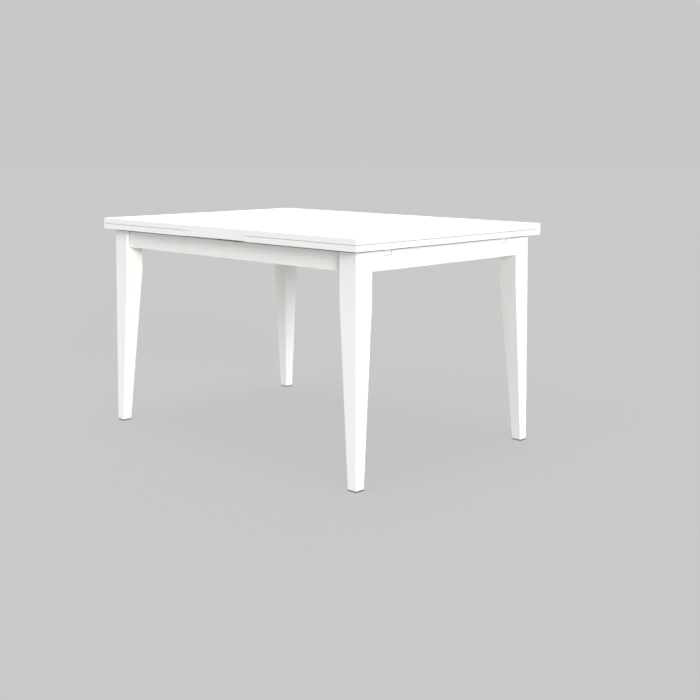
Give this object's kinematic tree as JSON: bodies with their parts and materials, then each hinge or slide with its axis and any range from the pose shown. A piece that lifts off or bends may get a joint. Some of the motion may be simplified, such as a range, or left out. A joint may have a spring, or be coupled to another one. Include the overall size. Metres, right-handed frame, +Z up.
{
  "type": "extendable dining table",
  "caption": "White four-legged dining table with a draw-out leaf stored under each end of its top, on runners that slide through the frame.",
  "frame": {"origin": "on the floor under the middle of the closed table's top", "axes": "+X along the table, the way the right leaf draws out; +Y from the front long side to the back; +Z up"},
  "size_m": [1.3, 0.9, 0.75],
  "materials": {
    "white_board": "white wood-effect foil, satin",
    "white_frame": "white stain over fine grain, satin",
    "pine": "planed, uncoated",
    "beech": "turned, uncoated",
    "zinc_steel": "zinc plated",
    "felt": "pressed felt",
    "nylon": "moulded, matte"
  },
  "bodies": {
    "frame": {"main_top": "white_board", "centre_board": "white_board", "felt_pad_front_left": "felt", "felt_pad_front_right": "felt", "felt_pad_back_left": "felt", "felt_pad_back_right": "felt", "cross_rail_left": "pine", "cross_rail_right": "pine", "top_screw_front_left": "zinc_steel", "top_screw_front_right": "zinc_steel", "top_screw_back_left": "zinc_steel", "top_screw_back_right": "zinc_steel", "apron_front": "white_frame", "apron_back": "white_frame", "apron_left": "white_frame", "apron_right": "white_frame", "leg_front_left": "white_frame", "glide_front_left": "nylon", "corner_plate_front_left": "zinc_steel", "hanger_bolt_front_left": "zinc_steel", "wing_nut_front_left": "zinc_steel", "leg_front_right": "white_frame", "glide_front_right": "nylon", "corner_plate_front_right": "zinc_steel", "hanger_bolt_front_right": "zinc_steel", "wing_nut_front_right": "zinc_steel", "leg_back_left": "white_frame", "glide_back_left": "nylon", "corner_plate_back_left": "zinc_steel", "hanger_bolt_back_left": "zinc_steel", "wing_nut_back_left": "zinc_steel", "leg_back_right": "white_frame", "glide_back_right": "nylon", "corner_plate_back_right": "zinc_steel", "hanger_bolt_back_right": "zinc_steel", "wing_nut_back_right": "zinc_steel"},
    "left_leaf": {"leaf_left": "white_board", "runner_left_front": "white_frame", "stop_peg_left_front": "beech", "leaf_screw_left_front_inner": "zinc_steel", "leaf_screw_left_front_outer": "zinc_steel", "runner_left_back": "white_frame", "stop_peg_left_back": "beech", "leaf_screw_left_back_inner": "zinc_steel", "leaf_screw_left_back_outer": "zinc_steel"},
    "right_leaf": {"leaf_right": "white_board", "runner_right_front": "white_frame", "stop_peg_right_front": "beech", "leaf_screw_right_front_inner": "zinc_steel", "leaf_screw_right_front_outer": "zinc_steel", "runner_right_back": "white_frame", "stop_peg_right_back": "beech", "leaf_screw_right_back_inner": "zinc_steel", "leaf_screw_right_back_outer": "zinc_steel"}
  },
  "joints": [
    {"name": "right_leaf_slide", "type": "slide", "parent": "frame", "child": "right_leaf", "axis": [1, 0, 0], "range_m": [0, 0.5]},
    {"name": "left_leaf_slide", "type": "slide", "parent": "frame", "child": "left_leaf", "axis": [-1, 0, 0], "range_m": [0, 0.5]}
  ]
}
